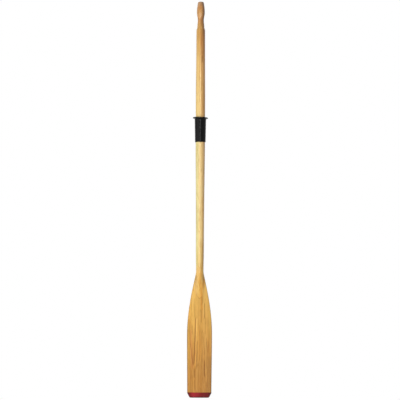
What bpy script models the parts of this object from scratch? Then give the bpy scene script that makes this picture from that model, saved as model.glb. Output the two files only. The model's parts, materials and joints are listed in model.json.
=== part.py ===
"""Wooden rowing oar with a rubber collar and a red blade tip.

The oar stands upright. +Z runs up the loom to the grip, the blade hangs below, and its front face
looks along -Y. The origin is on the loom's axis, level with the foot of the collar's flange, where
the rowlock bears. Lengths are in metres.

The wood is one smooth form, lofted through rings. Each wooden piece is the part of that form that
lies in its own block, and the blocks keep a glue line between them.
"""

import math

import bmesh
import bpy

# Lengths along the oar, from the rowlock seat at the origin
INBOARD_LENGTH = 0.6231
OUTBOARD_LENGTH = 1.4769

# Grip, turned round, from its flat end down to the shoulder
GRIP_END_DIAMETER = 0.0305
GRIP_END_ROUNDING = 0.003
GRIP_BULB_LENGTH = 0.0545
GRIP_BULB_DIAMETER = 0.0423
GRIP_WAIST_LENGTH = 0.040
GRIP_NECK_DIAMETER = 0.0321
GRIP_PALM_LENGTH = 0.038
GRIP_PALM_DIAMETER = 0.0376
GRIP_FLARE_LENGTH = 0.019
SHOULDER_DIAMETER = 0.0464

# Loom, round, thickest where the collar slides, and drawn in where it meets the blade
LOOM_DIAMETER = 0.050
LOOM_FOOT_DIAMETER = 0.0428
LOOM_FOOT_LENGTH = 0.115
THROAT_DIAMETER = 0.040

# Blade, from the throat down to its end
BLADE_SWELL_LENGTH = 0.340
BLADE_BODY_LENGTH = 0.3297
BLADE_WIDTH = 0.133
BLADE_END_WIDTH = 0.1286
THROAT_SOFTNESS = 0.032
SWELL_POWER = 0.85
BLADE_MIDDLE_THICKNESS = 0.0115
BLADE_END_THICKNESS = 0.009
BLADE_EDGE_THICKNESS = 0.006
BLADE_EDGE_ROUNDING = 0.003

# Spine, the round loom fading into the flat blade
SPINE_LENGTH = 0.300
SPINE_DROP_POWER = 1.9
SPINE_WIDTH = 0.090
SPINE_FLATTEN_LENGTH = 0.150
SPINE_BELL_POWER = 2.0
ROUND_POWER = 0.5
MERGE_POWER = 3.0

# Tip strip, with its cut corners, and the spline that holds it
TIP_HEIGHT = 0.0285
TIP_CORNER_WIDTH = 0.0128
TIP_CORNER_HEIGHT = 0.024
TIP_CORNER_ROUNDING = 0.008
SPLINE_INSET = 0.0193
SPLINE_HEIGHT = 0.020
SPLINE_THICKNESS = 0.003

# Laminations and seams
CORE_THICKNESS = 0.016
TONGUE_END_WIDTH = 0.031
GLUE_LINE = 0.0003
FEATHER_THICKNESS = 0.0005

# Collar
COLLAR_CLEARANCE = 0.0003
COLLAR_TRAVEL = 0.050
SLEEVE_LENGTH = 0.1203
SLEEVE_SEAT_WALL = 0.0051
SLEEVE_END_WALL = 0.0030
SLEEVE_END_ROUNDING = 0.0015
FLANGE_REACH = 0.0099
FLANGE_FLARE_HEIGHT = 0.0075
FLANGE_RIM_THICKNESS = 0.0028
BORE_CHAMFER = 0.0006

# Colours in linear light
PALE_WOOD_COLOUR = (0.80, 0.58, 0.30)
AMBER_WOOD_COLOUR = (0.62, 0.34, 0.11)
BARE_WOOD_COLOUR = (0.62, 0.44, 0.26)
TIP_COLOUR = (0.24, 0.018, 0.022)
RUBBER_COLOUR = (0.022, 0.022, 0.024)
VARNISH_ROUGHNESS = 0.3
BARE_WOOD_ROUGHNESS = 0.6
RUBBER_ROUGHNESS = 0.45

# Fineness of the faceted forms
RING_SIDES = 48
GRIP_RING_GAP = 0.007
LOOM_RING_GAP = 0.100
LOOM_FOOT_RING_GAP = 0.023
SWELL_RING_GAP = 0.0175
BODY_RING_GAP = 0.075
CORNER_RING_GAP = 0.00125
FLARE_STEPS = 5
ROUNDING_STEPS = 3
SHARP_ANGLE = math.radians(35)
WELD_DISTANCE = 1e-7
HALVINGS = 40

# Places that follow from the sizes
GRIP_END = INBOARD_LENGTH
GRIP_BULB = GRIP_END - GRIP_BULB_LENGTH
GRIP_NECK = GRIP_BULB - GRIP_WAIST_LENGTH
GRIP_PALM = GRIP_NECK - GRIP_PALM_LENGTH
SHOULDER = GRIP_PALM - GRIP_FLARE_LENGTH
COLLAR_TOP = FLANGE_FLARE_HEIGHT + FLANGE_RIM_THICKNESS
COLLAR_END = -SLEEVE_LENGTH
PARALLEL_TOP = COLLAR_TOP + COLLAR_TRAVEL
PARALLEL_END = COLLAR_END - COLLAR_TRAVEL
BLADE_END = -OUTBOARD_LENGTH
BLADE_LENGTH = BLADE_SWELL_LENGTH + BLADE_BODY_LENGTH
THROAT = BLADE_END + BLADE_LENGTH
LOOM_FOOT = THROAT + LOOM_FOOT_LENGTH
BLADE_WIDEST = THROAT - BLADE_SWELL_LENGTH
TIP_JOINT = BLADE_END + TIP_HEIGHT
TIP_CORNER = BLADE_END + TIP_CORNER_HEIGHT
BLOCK_REACH = BLADE_WIDTH


def eased(start, end, share):
    """The value from start to end, level at both, as share goes from 0 to 1."""
    share = min(max(share, 0.0), 1.0)
    return start + (end - start) * share * share * (3 - 2 * share)


def share_of(height, top, foot):
    """How far down a height lies between a top, at 0, and a foot, at 1."""
    return (top - height) / (top - foot)


def spaced(top, foot, gap):
    """Heights from a top down to, but without, a foot, about a gap apart."""
    steps = max(round((top - foot) / gap), 1)
    return [top + (foot - top) * step / steps for step in range(steps)]


def rounded_corner(depth, rounding):
    """How far a rounded corner has drawn in at a depth under the face that it ends in."""
    if depth >= rounding:
        return 0.0
    return rounding - math.sqrt(rounding**2 - (rounding - depth) ** 2)


def bulb_radius(height):
    """Radius of the grip from its rounded end down to the widest part of its bulb."""
    end, bulb = GRIP_END_DIAMETER / 2, GRIP_BULB_DIAMETER / 2
    swell = math.sin(math.pi / 2 * share_of(height, GRIP_END, GRIP_BULB))
    return end + (bulb - end) * swell - rounded_corner(GRIP_END - height, GRIP_END_ROUNDING)


def loom_radius(height):
    """Radius of the round wood at a height between the grip's end and the throat."""
    if height > GRIP_BULB:
        return bulb_radius(height)
    levels = (
        (GRIP_BULB, GRIP_BULB_DIAMETER),
        (GRIP_NECK, GRIP_NECK_DIAMETER),
        (GRIP_PALM, GRIP_PALM_DIAMETER),
        (SHOULDER, SHOULDER_DIAMETER),
        (PARALLEL_TOP, LOOM_DIAMETER),
        (PARALLEL_END, LOOM_DIAMETER),
    )
    for (top, above), (foot, below) in zip(levels, levels[1:]):
        if height > foot:
            return eased(above, below, share_of(height, top, foot)) / 2
    if height < LOOM_FOOT:
        return eased(LOOM_FOOT_DIAMETER, THROAT_DIAMETER, share_of(height, LOOM_FOOT, THROAT)) / 2
    taper = math.sin(math.pi / 2 * share_of(height, PARALLEL_END, LOOM_FOOT))
    return (LOOM_DIAMETER - (LOOM_DIAMETER - LOOM_FOOT_DIAMETER) * taper) / 2


def tip_slope():
    """How much the cut corner widens the blade's half width for each unit of height."""
    return TIP_CORNER_WIDTH / TIP_CORNER_HEIGHT


def tip_arc_height():
    """How far above the blade's end the cut corner's rounding begins."""
    slope = tip_slope()
    return TIP_CORNER_ROUNDING * (1 - slope / math.hypot(1, slope))


def tip_half_width(from_end):
    """Half width that the cut corner leaves at a distance above the blade's end."""
    flat = BLADE_END_WIDTH / 2 - TIP_CORNER_WIDTH
    slope = tip_slope()
    rounding = TIP_CORNER_ROUNDING
    centre = flat + rounding * slope - rounding * math.hypot(1, slope)
    if from_end < tip_arc_height():
        return centre + math.sqrt(rounding**2 - (rounding - from_end) ** 2)
    return flat + from_end * slope


def softly_down(height, reach):
    """How far a height lies below the throat, as a share of a reach, with a gentle start."""
    down = THROAT - height
    soft = down**2 / (down + THROAT_SOFTNESS)
    full = reach**2 / (reach + THROAT_SOFTNESS)
    return min(soft / full, 1.0)


def half_width(height):
    """Half width of the wooden form at a height."""
    if height >= THROAT:
        return loom_radius(height)
    widest = BLADE_WIDTH / 2
    if height > BLADE_WIDEST:
        throat = THROAT_DIAMETER / 2
        swell = math.sin(math.pi / 2 * softly_down(height, BLADE_SWELL_LENGTH)) ** SWELL_POWER
        return throat + (widest - throat) * swell
    side = eased(widest, BLADE_END_WIDTH / 2, share_of(height, BLADE_WIDEST, BLADE_END))
    return min(side, tip_half_width(height - BLADE_END))


def board_depth(height, across):
    """Half thickness of the crowned board that the blade is, without its spine."""
    edge = BLADE_EDGE_THICKNESS / 2
    thinned = (BLADE_MIDDLE_THICKNESS - BLADE_END_THICKNESS) * share_of(height, THROAT, BLADE_END)
    middle = (BLADE_MIDDLE_THICKNESS - thinned) / 2
    outer = half_width(height)
    crowned = edge + (middle - edge) * (1 - (across / (BLADE_WIDTH / 2)) ** 2)
    inset = 1 - min((outer - abs(across)) / BLADE_EDGE_ROUNDING, 1.0)
    return crowned * math.sqrt(max(1 - inset**2, 0.0))


def spine_depth(height, across):
    """Half thickness of the spine, which is the loom's circle at the throat and a low bell below."""
    power = eased(ROUND_POWER, SPINE_BELL_POWER, (THROAT - height) / SPINE_FLATTEN_LENGTH)
    crest = THROAT_DIAMETER / 2 * (1 - softly_down(height, SPINE_LENGTH)) ** SPINE_DROP_POWER
    spread = min(SPINE_WIDTH / 2, half_width(height))
    return crest * max(1 - (across / spread) ** 2, 0.0) ** power


def half_depth(height, across):
    """Half thickness of the wooden form at a height and a distance from the oar's middle line."""
    if height >= THROAT:
        return math.sqrt(max(loom_radius(height) ** 2 - across**2, 0.0))
    board = board_depth(height, across)
    spine = spine_depth(height, across)
    return (board**MERGE_POWER + spine**MERGE_POWER) ** (1 / MERGE_POWER)


def height_where(measure, target, low, high):
    """Height at which a measure that grows with height passes its target, by halving."""
    for _ in range(HALVINGS):
        middle = (low + high) / 2
        if measure(middle) < target:
            low = middle
        else:
            high = middle
    return (low + high) / 2


def ring_heights():
    """Heights of the rings of the wooden form, closest where it curves most."""
    rounded = GRIP_END - GRIP_END_ROUNDING
    corner_arc = BLADE_END + tip_arc_height()
    heights = spaced(GRIP_END, rounded, GRIP_END_ROUNDING / ROUNDING_STEPS)
    heights += spaced(rounded, GRIP_BULB, GRIP_RING_GAP)
    heights += spaced(GRIP_BULB, GRIP_NECK, GRIP_RING_GAP)
    heights += spaced(GRIP_NECK, GRIP_PALM, GRIP_RING_GAP)
    heights += spaced(GRIP_PALM, SHOULDER, GRIP_RING_GAP / 2)
    heights += spaced(SHOULDER, PARALLEL_TOP, LOOM_RING_GAP)
    heights += [PARALLEL_TOP] + spaced(PARALLEL_END, LOOM_FOOT, LOOM_RING_GAP)
    heights += spaced(LOOM_FOOT, THROAT, LOOM_FOOT_RING_GAP)
    heights += spaced(THROAT, BLADE_WIDEST, SWELL_RING_GAP)
    heights += spaced(BLADE_WIDEST, TIP_CORNER, BODY_RING_GAP)
    heights += [TIP_CORNER] + spaced(corner_arc, BLADE_END, CORNER_RING_GAP)
    return heights + [BLADE_END]


def ring(height):
    """Points of the wooden form around the loom's axis at a height."""
    outer = half_width(height)
    points = []
    for side in range(RING_SIDES):
        turn = 2 * math.pi * side / RING_SIDES
        across = outer * math.cos(turn)
        depth = half_depth(height, across)
        points.append((across, math.copysign(depth, math.sin(turn)), height))
    return points


def mesh_of(name, points, faces):
    """A mesh of triangles with its faces turned outwards."""
    mesh = bpy.data.meshes.new(name)
    mesh.from_pydata(points, [], faces)
    shape = bmesh.new()
    shape.from_mesh(mesh)
    bmesh.ops.remove_doubles(shape, verts=shape.verts, dist=WELD_DISTANCE)
    bmesh.ops.recalc_face_normals(shape, faces=shape.faces)
    if shape.calc_volume(signed=True) < 0:
        bmesh.ops.reverse_faces(shape, faces=shape.faces)
    bmesh.ops.triangulate(shape, faces=shape.faces)
    shape.to_mesh(mesh)
    shape.free()
    return mesh


def lofted(name, rings):
    """A closed mesh through rings of equally many points, capped at both ends."""
    count = len(rings[0])
    points = [point for row in rings for point in row]
    faces = []
    for row in range(len(rings) - 1):
        for side in range(count):
            after = (side + 1) % count
            here, there = row * count, (row + 1) * count
            faces.append((here + side, here + after, there + after, there + side))
    last = (len(rings) - 1) * count
    faces.append(tuple(range(count)))
    faces.append(tuple(last + side for side in range(count)))
    return mesh_of(name, points, faces)


def block(name, outline, front, back):
    """A guide solid: an outline of (x, z) points, from one y to another."""
    near = [(x, front, z) for x, z in outline]
    far = [(x, back, z) for x, z in outline]
    guide = bpy.data.objects.new(name, lofted(name, [near, far]))
    bpy.context.scene.collection.objects.link(guide)
    guide.hide_render = True
    guide.display_type = "WIRE"
    return guide


def material(name, colour, roughness):
    """A plain finish of one colour."""
    finish = bpy.data.materials.new(name)
    finish.use_nodes = True
    shader = finish.node_tree.nodes["Principled BSDF"]
    shader.inputs["Base Color"].default_value = (*colour, 1.0)
    shader.inputs["Roughness"].default_value = roughness
    shader.inputs["Metallic"].default_value = 0.0
    return finish


def piece(name, mesh, finish, parent):
    """A named solid of the oar, shaded smooth over its round faces."""
    solid = bpy.data.objects.new(name, mesh)
    bpy.context.scene.collection.objects.link(solid)
    mesh.materials.append(finish)
    mesh.shade_smooth()
    mesh.set_sharp_from_angle(angle=SHARP_ANGLE)
    solid.parent = parent
    return solid


def cut(solid, guide, operation):
    """Keeps the part of a solid inside a guide, or takes the guide out of it."""
    change = solid.modifiers.new(operation.title() + "_" + guide.name, "BOOLEAN")
    change.operation = operation
    change.object = guide


def wooden_piece(name, form, guide, finish, parent):
    """The part of the wooden form that lies in a block."""
    solid = piece(name, form.copy(), finish, parent)
    cut(solid, guide, "INTERSECT")
    return solid


def seam_half_width(height):
    """Half width of the loom's tongue in the blade, where the wings are glued to it."""
    narrowed = (THROAT_DIAMETER - TONGUE_END_WIDTH) * share_of(height, THROAT, BLADE_END)
    return (THROAT_DIAMETER - narrowed) / 2


def wing_top():
    """Height at which a wing thins out to its feather edge beside the loom."""
    least = GLUE_LINE + FEATHER_THICKNESS
    return height_where(
        lambda height: seam_half_width(height) - half_width(height),
        -least,
        BLADE_WIDEST,
        THROAT,
    )


def run_out():
    """Height at which the outer laminations thin out to their feather edge on the spine."""
    least = CORE_THICKNESS / 2 + GLUE_LINE + FEATHER_THICKNESS
    return height_where(lambda height: half_depth(height, 0.0), least, TIP_JOINT, THROAT)


def loom_outline(foot):
    """Outline in x and z of the loom's blocks, from a foot in the blade to past the grip."""
    top = GRIP_END + BLOCK_REACH
    step = wing_top() + GLUE_LINE
    right = [
        (seam_half_width(foot), foot),
        (seam_half_width(step), step),
        (BLOCK_REACH, step),
        (BLOCK_REACH, top),
    ]
    return right + [(-x, z) for x, z in reversed(right)]


def wing_outline(side):
    """Outline in x and z of a wing's block, on the side of x that has the sign of side."""
    top = wing_top()
    foot = TIP_JOINT + GLUE_LINE
    inner = [
        (side * (seam_half_width(foot) + GLUE_LINE), foot),
        (side * (seam_half_width(top) + GLUE_LINE), top),
    ]
    return inner + [(side * BLOCK_REACH, top), (side * BLOCK_REACH, foot)]


def box_outline(half, low, high):
    """Outline in x and z of an upright box about the middle line."""
    return [(-half, low), (half, low), (half, high), (-half, high)]


def make_wood(parent):
    """The glued wooden pieces: three laminations, two wings, the tip strip and its spline."""
    form = lofted("wooden_form", [ring(height) for height in ring_heights()])
    pale = material("varnished_pale_wood", PALE_WOOD_COLOUR, VARNISH_ROUGHNESS)
    amber = material("varnished_amber_wood", AMBER_WOOD_COLOUR, VARNISH_ROUGHNESS)
    red = material("red_lacquer", TIP_COLOUR, VARNISH_ROUGHNESS)
    bare = material("bare_wood", BARE_WOOD_COLOUR, BARE_WOOD_ROUGHNESS)

    core = CORE_THICKNESS / 2
    outer = core + GLUE_LINE
    foot = TIP_JOINT + GLUE_LINE
    front_block = block("front_block", loom_outline(run_out()), -BLOCK_REACH, -outer)
    core_block = block("core_block", loom_outline(foot), -core, core)
    back_block = block("back_block", loom_outline(run_out()), outer, BLOCK_REACH)
    left_block = block("left_block", wing_outline(-1), -BLOCK_REACH, BLOCK_REACH)
    right_block = block("right_block", wing_outline(1), -BLOCK_REACH, BLOCK_REACH)
    below = box_outline(BLOCK_REACH, BLADE_END - BLOCK_REACH, TIP_JOINT)
    tip_block = block("tip_block", below, -BLOCK_REACH, BLOCK_REACH)

    wooden_piece("loom_front", form, front_block, pale, parent)
    loom_core = wooden_piece("loom_core", form, core_block, pale, parent)
    wooden_piece("loom_back", form, back_block, pale, parent)
    wing_left = wooden_piece("blade_wing_left", form, left_block, amber, parent)
    wing_right = wooden_piece("blade_wing_right", form, right_block, amber, parent)
    blade_tip = wooden_piece("blade_tip", form, tip_block, red, parent)

    wide = BLADE_END_WIDTH / 2 - SPLINE_INSET
    tall, thick = SPLINE_HEIGHT / 2, SPLINE_THICKNESS / 2
    middle = TIP_JOINT + GLUE_LINE / 2
    slot_outline = box_outline(wide + GLUE_LINE, middle - tall - GLUE_LINE, middle + tall + GLUE_LINE)
    slot = block("spline_slot", slot_outline, -thick - GLUE_LINE, thick + GLUE_LINE)
    for slotted in (loom_core, wing_left, wing_right, blade_tip):
        cut(slotted, slot, "DIFFERENCE")
    tongue = box_outline(wide, middle - tall, middle + tall)
    near = [(x, -thick, z) for x, z in tongue]
    far = [(x, thick, z) for x, z in tongue]
    piece("tip_spline", lofted("tip_spline", [near, far]), bare, parent)


def collar_profile():
    """Closed outline of the collar in radius and height, from the bore's top down its outside."""
    bore = LOOM_DIAMETER / 2 + COLLAR_CLEARANCE
    seat = bore + SLEEVE_SEAT_WALL
    end = bore + SLEEVE_END_WALL
    rim = seat + FLANGE_REACH
    rounding = min(SLEEVE_END_ROUNDING, SLEEVE_END_WALL / 2)
    chamfer = min(BORE_CHAMFER, SLEEVE_END_WALL / 4)
    profile = [(bore, COLLAR_TOP - chamfer), (bore + chamfer, COLLAR_TOP), (rim, COLLAR_TOP)]
    for step in range(FLARE_STEPS + 1):
        turn = math.pi / 2 * step / FLARE_STEPS
        radius = seat + (rim - seat) * (1 - math.sin(turn))
        profile.append((radius, FLANGE_FLARE_HEIGHT * math.cos(turn)))
    for step in range(ROUNDING_STEPS + 1):
        turn = math.pi / 2 * step / ROUNDING_STEPS
        drawn_in = rounding * (1 - math.cos(turn))
        above_end = rounding * (1 - math.sin(turn))
        profile.append((end - drawn_in, COLLAR_END + above_end))
    profile.append((bore + chamfer, COLLAR_END))
    profile.append((bore, COLLAR_END + chamfer))
    return profile


def make_collar(parent):
    """The rubber collar, turned about the loom's axis, on which it slides."""
    profile = collar_profile()
    count = len(profile)
    points = []
    for side in range(RING_SIDES):
        turn = 2 * math.pi * side / RING_SIDES
        points += [(r * math.cos(turn), r * math.sin(turn), z) for r, z in profile]
    faces = []
    for side in range(RING_SIDES):
        here, there = side * count, (side + 1) % RING_SIDES * count
        for spot in range(count):
            after = (spot + 1) % count
            faces.append((here + spot, here + after, there + after, there + spot))
    rubber = material("black_rubber", RUBBER_COLOUR, RUBBER_ROUGHNESS)
    piece("collar", mesh_of("collar", points, faces), rubber, parent)


def empty(name):
    """A point that pieces are placed by."""
    holder = bpy.data.objects.new(name, None)
    bpy.context.scene.collection.objects.link(holder)
    return holder


def main():
    for old in list(bpy.data.objects):
        bpy.data.objects.remove(old, do_unlink=True)
    oar = empty("oar")
    slide = empty("collar_slide")
    slide.parent = oar
    make_wood(oar)
    make_collar(slide)


main()
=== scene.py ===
"""Looks of a wooden rowing oar, built around its solid model.

The oar stands upright, +Z up its loom, with the blade's front face along -Y. The origin is on the
loom's axis, at the foot of the collar's flange. Lengths are in metres and colours in linear light.
"""

import json
import math
from collections import namedtuple
from functools import partial

import bmesh
import bpy
from bpy.props import FloatProperty, FloatVectorProperty, PointerProperty
from bpy.types import Operator, Panel, PropertyGroup
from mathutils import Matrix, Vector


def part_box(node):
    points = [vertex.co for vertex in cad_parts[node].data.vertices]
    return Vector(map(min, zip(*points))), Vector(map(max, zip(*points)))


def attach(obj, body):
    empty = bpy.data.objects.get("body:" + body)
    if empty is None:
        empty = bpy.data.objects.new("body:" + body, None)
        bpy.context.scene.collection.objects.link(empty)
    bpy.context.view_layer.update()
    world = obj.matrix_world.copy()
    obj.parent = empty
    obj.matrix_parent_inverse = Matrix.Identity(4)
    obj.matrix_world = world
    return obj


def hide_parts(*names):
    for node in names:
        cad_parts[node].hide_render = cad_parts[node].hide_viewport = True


bl_info = {
    "name": "Wooden Rowing Oar",
    "version": (1, 0, 0),
    "blender": (4, 5, 0),
    "location": "3D View > Sidebar > Oar",
    "description": "Dresses the solid model of an oar in varnished wood, red lacquer and rubber",
    "category": "Object",
}

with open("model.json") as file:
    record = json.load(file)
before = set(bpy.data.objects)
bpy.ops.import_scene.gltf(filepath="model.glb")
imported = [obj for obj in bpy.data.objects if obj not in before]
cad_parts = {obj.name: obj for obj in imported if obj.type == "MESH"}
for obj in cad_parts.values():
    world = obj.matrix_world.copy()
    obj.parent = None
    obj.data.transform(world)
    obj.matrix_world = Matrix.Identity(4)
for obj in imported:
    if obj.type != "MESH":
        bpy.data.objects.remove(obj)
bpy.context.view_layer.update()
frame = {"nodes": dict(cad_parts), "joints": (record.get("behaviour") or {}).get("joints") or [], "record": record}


def mount_height(name):
    """Height of one of the record's mounts."""
    return next(m["pos_m"][2] for m in frame["record"]["mounts"] if m["name"] == name)


GRIP_END = mount_height("grip_end_face")
BLADE_END = mount_height("blade_end_face")
SEAT = mount_height("rowlock_seat")
CORE_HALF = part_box("loom_core")[1].y
LOOM_WIDTH = 2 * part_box("loom_core")[1].x
BLADE_WIDTH = 2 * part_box("blade_wing_right")[1].x
TIP_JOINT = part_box("blade_tip")[1].z
COLLAR_LOW, COLLAR_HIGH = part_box("collar")
COLLAR_TRAVEL = frame["joints"][0]["range_m"][1]

# Pieces that come in pairs: the name, the node that is replaced, and the side, which is -1 for
# front or left and 1 for back or right
OUTER_LAMINATIONS = (
    ("front_lamination", "loom_front", -1),
    ("back_lamination", "loom_back", 1),
)
WINGS = (("left_wing", "blade_wing_left", -1), ("right_wing", "blade_wing_right", 1))

# Fineness of the modelled surfaces
GRIP_STEP = 0.0015
LOOM_STEP = 0.012
LOOM_FOOT_STEP = 0.005
SWELL_STEP = 0.003
BLADE_STEP = 0.008
CORNER_SIDE_STEP = 0.0028
CORNER_STEP = 0.0007
RUN_OUT_STEPS = 14
RUN_OUT_REACH = 0.014
ROUNDING_STEPS = 8
ARC_STEPS = 44
STRIP_STEPS = 12
BOARD_STEPS = 14
EDGE_STEPS = 8
COLLAR_SIDES = 144
FLARE_STEPS = 14
LIP_STEPS = 6
WELD_DISTANCE = 1e-7
HALVINGS = 40
SHARP_ANGLE = math.radians(32)

# Colour sockets of a mix node, and the values that soft noise usually takes
MIX_FIRST = 6
MIX_SECOND = 7
MIX_RESULT = 2
NOISE_SPAN = (0.3, 0.7)
NOISE_MIDDLE = 0.5

# How far under the origin the lean of the collar's soft flange begins
LEAN_START = 0.004

# The floor: its size and lightness, and how far from the oar it starts and ends its fade to white
FLOOR_RADIUS = 30.0
FLOOR_SIDES = 64
FLOOR_GREY = 0.9
FLOOR_GLOW = 0.45
FLOOR_FADE = (0.65, 1.0)


def length(name, description, default):
    """A length that a user can change."""
    return FloatProperty(
        name=name, description=description, default=default, min=0.0, unit="LENGTH", precision=4
    )


def factor(name, description, default):
    """A share between 0 and 1 that a user can change."""
    return FloatProperty(
        name=name, description=description, default=default, min=0.0, max=1.0, subtype="FACTOR"
    )


def power(name, description, default):
    """An exponent that shapes a curve."""
    return FloatProperty(name=name, description=description, default=default, min=0.1)


def angle(name, description, degrees):
    """An angle that a user can change."""
    return FloatProperty(
        name=name, description=description, default=math.radians(degrees), unit="ROTATION"
    )


def colour(name, description, default):
    """A colour that a user can change."""
    return FloatVectorProperty(
        name=name,
        description=description,
        default=default,
        min=0.0,
        max=1.0,
        size=3,
        subtype="COLOR",
    )


def watts(name, description, default):
    """The power of a lamp."""
    return FloatProperty(
        name=name, description=description, default=default, min=0.0, subtype="POWER"
    )


class OarGripSizes(PropertyGroup):
    """Sizes of the turned grip."""

    end_diameter: length("End diameter", "Across the grip's flat end", 0.0305)
    end_rounding: length("End rounding", "Rounding round the flat end", 0.003)
    bulb_length: length("Bulb length", "From the end down to the widest part of the bulb", 0.0545)
    bulb_diameter: length("Bulb diameter", "Across the bulb at its widest", 0.0423)
    waist_length: length("Waist length", "From the bulb down to the neck", 0.040)
    neck_diameter: length("Neck diameter", "Across the thinnest part of the grip", 0.0321)
    palm_length: length("Palm length", "From the neck down to the start of the flare", 0.038)
    palm_diameter: length("Palm diameter", "Across the grip where the flare starts", 0.0376)
    flare_length: length("Flare length", "From the palm down to the shoulder", 0.019)
    shoulder_diameter: length("Shoulder diameter", "Across the loom under the grip", 0.0464)


class OarLoomSizes(PropertyGroup):
    """Sizes of the round loom."""

    diameter: length("Diameter", "Across the loom where the collar slides", LOOM_WIDTH)
    foot_diameter: length("Foot diameter", "Across the loom above the throat", 0.0428)
    foot_length: length("Foot length", "Stretch over which the loom draws in to the throat", 0.115)
    throat_diameter: length("Throat diameter", "Across the loom where the blade starts", 0.040)


class OarBladeSizes(PropertyGroup):
    """Sizes of the blade and of the spine that runs out on it."""

    swell_length: length("Swell length", "From the throat down to the widest part", 0.340)
    body_length: length("Body length", "From the widest part down to the end", 0.3297)
    end_width: length("End width", "Across the end, with the cut corners made whole", 0.1286)
    softness: length("Throat softness", "How gently the blade leaves the loom", 0.032)
    swell_power: power("Swell power", "Fullness of the blade's shoulders", 0.85)
    middle_thickness: length("Middle thickness", "Through the board under the throat", 0.0115)
    end_thickness: length("End thickness", "Through the board at its end", 0.009)
    edge_thickness: length("Edge thickness", "Through the board at its sides", 0.006)
    edge_rounding: length("Edge rounding", "Rounding along the sides", 0.003)
    tip_rounding: length("Tip rounding", "Rounding along the blade's end", 0.0012)
    spine_length: length("Spine length", "How far the loom's ridge runs down the blade", 0.300)
    spine_drop_power: power("Spine drop power", "How soon the ridge falls", 1.9)
    spine_width: length("Spine width", "Across the ridge where the blade is wider than it", 0.090)
    spine_flatten_length: length("Spine flatten length", "Stretch in which the ridge turns to a bell", 0.150)
    bell_power: power("Bell power", "How much the low ridge is bell shaped", 2.0)
    round_power: power("Round power", "The ridge's shape where it is still round", 0.5)
    merge_power: power("Merge power", "How tightly the ridge blends with the board", 3.0)
    corner_width: length("Corner width", "How much a cut corner takes off the end", 0.0128)
    corner_height: length("Corner height", "How far up a cut corner starts", 0.024)
    corner_rounding: length("Corner rounding", "Rounding at a cut corner's foot", 0.008)
    tongue_width: length("Tongue width", "Across the core at the end of the blade", 0.031)


class OarCollarSizes(PropertyGroup):
    """Sizes of the rubber collar."""

    clearance: length("Clearance", "Between the bore and the loom", 0.0003)
    seat_wall: length("Seat wall", "Wall of the sleeve under the flange", 0.0051)
    end_wall: length("End wall", "Wall of the sleeve at its lower end", 0.0030)
    end_rounding: length("End rounding", "Rounding round the lower end", 0.0014)
    rim_thickness: length("Rim thickness", "Thickness of the flange at its rim", 0.0046)
    rim_rounding: length("Rim rounding", "Rounding round the flange's rim", 0.0010)
    bore_chamfer: length("Bore chamfer", "Chamfer at both ends of the bore", 0.0006)
    dish: length("Dish", "How far the flange's top dips towards the loom", 0.0006)
    tilt: angle("Tilt", "How far the soft flange leans down on its right side", 1.85)


class OarWoodColours(PropertyGroup):
    """Tones of the varnished wood, from the grip down to the blade's end, and what changes them."""

    # the tones run paler in the loom's middle and darker towards the grip's end and the blade's end
    grip_end: colour("Grip end", "Handled wood round the grip's end", (0.54, 0.33, 0.18))
    grip: colour("Grip", "Handled wood of the grip", (0.72, 0.37, 0.125))
    bulb: colour("Bulb", "Paler wood on the grip's bulb", (0.79, 0.46, 0.17))
    top_loom: colour("Top of the loom", "Loom under the grip", (0.78, 0.44, 0.125))
    upper_loom: colour("Upper loom", "Loom between the grip and the collar", (0.88, 0.56, 0.19))
    collar_loom: colour("Loom over the collar", "Loom just above the collar", (0.93, 0.65, 0.24))
    pale_loom: colour("Pale loom", "Loom below the collar", (0.95, 0.715, 0.315))
    lower_loom: colour("Lower loom", "Loom above the throat", (0.95, 0.74, 0.33))
    throat: colour("Throat", "Wood where loom and blade meet", (0.88, 0.575, 0.155))
    shoulders: colour("Shoulders", "Golden wood on the blade's shoulders", (0.875, 0.525, 0.112))
    blade: colour("Blade", "Wood of the blade", (0.805, 0.438, 0.088))
    blade_foot: colour("Blade foot", "Blade just above its red tip", (0.65, 0.322, 0.060))
    latewood: colour("Latewood", "What the dark rings of the grain leave of a tone", (0.70, 0.54, 0.34))
    dark_line: colour("Dark line", "What the strongest dark lines leave of a tone", (0.56, 0.43, 0.28))
    pink_line: colour("Pink line", "What pink wood leaves of a tone", (1.0, 0.89, 1.0))
    yellow_side: colour("Yellow side", "What yellow wood at the blade's left side leaves", (0.93, 1.0, 0.88))
    streak: colour("Streak", "What a darker streak leaves of a tone", (0.80, 0.68, 0.46))
    # this tint also paints shade on the loom's right side
    heartwood_and_shade: colour("Heartwood", "What the darker heartwood leaves of a tone", (0.84, 0.71, 0.66))
    sapwood: colour("Sapwood", "What the yellow sapwood leaves of a tone", (0.85, 1.0, 1.0))
    flame: colour("Flame", "What an orange flame leaves of a tone", (0.97, 0.76, 0.46))
    # this tint also paints the shade along the blade's edges
    edge: colour("Edge", "What greyed edges leave of a tone", (0.60, 0.58, 0.60))
    # this tint also paints shade on the grip's right side and left outline
    soiled_and_shaded: colour("Soiled", "What handling leaves of a tone", (0.62, 0.54, 0.46))
    glue: colour("Glue", "What a glue line leaves of a tone", (0.60, 0.46, 0.32))
    wood_gloss: factor("Wood gloss", "Specular level of the wood under the varnish", 0.10)
    wood_roughness: factor("Wood roughness", "Roughness of the wood under the varnish", 0.45)
    varnish_weight: factor("Varnish weight", "Strength of the varnish's gloss", 0.70)
    varnish_roughness: factor("Varnish roughness", "Roughness of the varnish", 0.17)


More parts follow.
